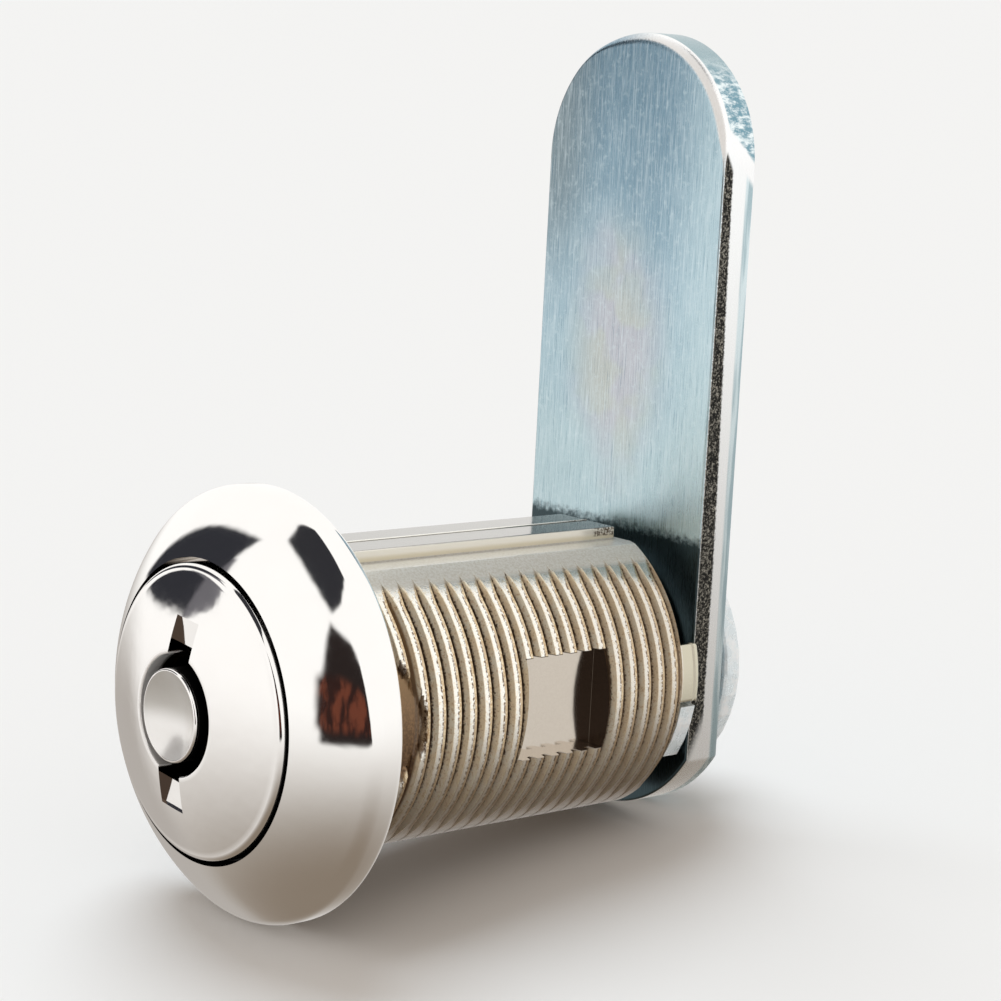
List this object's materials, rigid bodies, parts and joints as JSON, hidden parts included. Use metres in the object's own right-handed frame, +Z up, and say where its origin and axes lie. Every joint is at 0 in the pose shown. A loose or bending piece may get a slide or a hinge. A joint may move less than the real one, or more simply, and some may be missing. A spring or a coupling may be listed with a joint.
{
  "type": "cam lock",
  "caption": "Cylinder cam lock with a domed chrome bezel, a turning plug with a round keyway, a threaded barrel with flats and a flat round-ended steel cam at the rear.",
  "frame": {"origin": "on the lock's axis, at the bezel's flat back face that seats on the panel", "axes": "+Y along the lock's axis from the face to the cam, +Z up along the cam at rest, +X to the right seen from the front"},
  "size_m": [0.026, 0.0429, 0.0534],
  "materials": {
    "housing_chrome": "bright chrome plate, warmer and duller on the thread",
    "plug_chrome": "bright chrome plate",
    "brass": "turned",
    "nickel_steel": "nickel plate",
    "spring_steel": "drawn wire",
    "cam_zinc": "bluish zinc plate over a brushed face",
    "zinc_plate": "bluish zinc plate"
  },
  "bodies": {
    "housing_body": {"housing": "housing_chrome", "sleeve": "brass", "sleeve_pin": "nickel_steel", "pin_spring_1": "spring_steel", "pin_spring_2": "spring_steel", "pin_spring_3": "spring_steel", "pin_spring_4": "spring_steel", "pin_spring_5": "spring_steel", "pin_spring_6": "spring_steel", "pin_spring_7": "spring_steel"},
    "plug_body": {"plug": "plug_chrome", "stop_washer": "zinc_plate", "cam": "cam_zinc", "cam_washer": "zinc_plate", "cam_nut": "nickel_steel"},
    "key_pin_1_body": {"key_pin_1": "brass"},
    "key_pin_2_body": {"key_pin_2": "brass"},
    "key_pin_3_body": {"key_pin_3": "brass"},
    "key_pin_4_body": {"key_pin_4": "brass"},
    "key_pin_5_body": {"key_pin_5": "brass"},
    "key_pin_6_body": {"key_pin_6": "brass"},
    "key_pin_7_body": {"key_pin_7": "brass"},
    "driver_pin_1_body": {"driver_pin_1": "nickel_steel"},
    "driver_pin_2_body": {"driver_pin_2": "nickel_steel"},
    "driver_pin_3_body": {"driver_pin_3": "nickel_steel"},
    "driver_pin_4_body": {"driver_pin_4": "nickel_steel"},
    "driver_pin_5_body": {"driver_pin_5": "nickel_steel"},
    "driver_pin_6_body": {"driver_pin_6": "nickel_steel"},
    "driver_pin_7_body": {"driver_pin_7": "nickel_steel"}
  },
  "joints": [
    {"name": "plug_turn", "type": "hinge", "parent": "housing_body", "child": "plug_body", "pos_m": [0, 0, 0], "axis": [0, 1, 0], "range_deg": [0, 90]},
    {"name": "key_pin_1_slide", "type": "slide", "parent": "plug_body", "child": "key_pin_1_body", "axis": [0, 1, 0], "range_m": [-0.00195, 0]},
    {"name": "key_pin_2_slide", "type": "slide", "parent": "plug_body", "child": "key_pin_2_body", "axis": [0, 1, 0], "range_m": [-0.00155, 0]},
    {"name": "key_pin_3_slide", "type": "slide", "parent": "plug_body", "child": "key_pin_3_body", "axis": [0, 1, 0], "range_m": [-0.00275, 0]},
    {"name": "key_pin_4_slide", "type": "slide", "parent": "plug_body", "child": "key_pin_4_body", "axis": [0, 1, 0], "range_m": [-0.00115, 0]},
    {"name": "key_pin_5_slide", "type": "slide", "parent": "plug_body", "child": "key_pin_5_body", "axis": [0, 1, 0], "range_m": [-0.00235, 0]},
    {"name": "key_pin_6_slide", "type": "slide", "parent": "plug_body", "child": "key_pin_6_body", "axis": [0, 1, 0], "range_m": [-0.00175, 0]},
    {"name": "key_pin_7_slide", "type": "slide", "parent": "plug_body", "child": "key_pin_7_body", "axis": [0, 1, 0], "range_m": [-0.00255, 0]},
    {"name": "driver_pin_1_slide", "type": "slide", "parent": "housing_body", "child": "driver_pin_1_body", "axis": [0, 1, 0], "range_m": [-0.00195, 0], "deforming": ["pin_spring_1"]},
    {"name": "driver_pin_2_slide", "type": "slide", "parent": "housing_body", "child": "driver_pin_2_body", "axis": [0, 1, 0], "range_m": [-0.00155, 0], "deforming": ["pin_spring_2"]},
    {"name": "driver_pin_3_slide", "type": "slide", "parent": "housing_body", "child": "driver_pin_3_body", "axis": [0, 1, 0], "range_m": [-0.00275, 0], "deforming": ["pin_spring_3"]},
    {"name": "driver_pin_4_slide", "type": "slide", "parent": "housing_body", "child": "driver_pin_4_body", "axis": [0, 1, 0], "range_m": [-0.00115, 0], "deforming": ["pin_spring_4"]},
    {"name": "driver_pin_5_slide", "type": "slide", "parent": "housing_body", "child": "driver_pin_5_body", "axis": [0, 1, 0], "range_m": [-0.00235, 0], "deforming": ["pin_spring_5"]},
    {"name": "driver_pin_6_slide", "type": "slide", "parent": "housing_body", "child": "driver_pin_6_body", "axis": [0, 1, 0], "range_m": [-0.00175, 0], "deforming": ["pin_spring_6"]},
    {"name": "driver_pin_7_slide", "type": "slide", "parent": "housing_body", "child": "driver_pin_7_body", "axis": [0, 1, 0], "range_m": [-0.00255, 0], "deforming": ["pin_spring_7"]}
  ],
  "couplings": [
    {"joint": "driver_pin_1_slide", "follows": "key_pin_1_slide", "ratio": 1},
    {"joint": "driver_pin_2_slide", "follows": "key_pin_2_slide", "ratio": 1},
    {"joint": "driver_pin_3_slide", "follows": "key_pin_3_slide", "ratio": 1},
    {"joint": "driver_pin_4_slide", "follows": "key_pin_4_slide", "ratio": 1},
    {"joint": "driver_pin_5_slide", "follows": "key_pin_5_slide", "ratio": 1},
    {"joint": "driver_pin_6_slide", "follows": "key_pin_6_slide", "ratio": 1},
    {"joint": "driver_pin_7_slide", "follows": "key_pin_7_slide", "ratio": 1}
  ]
}
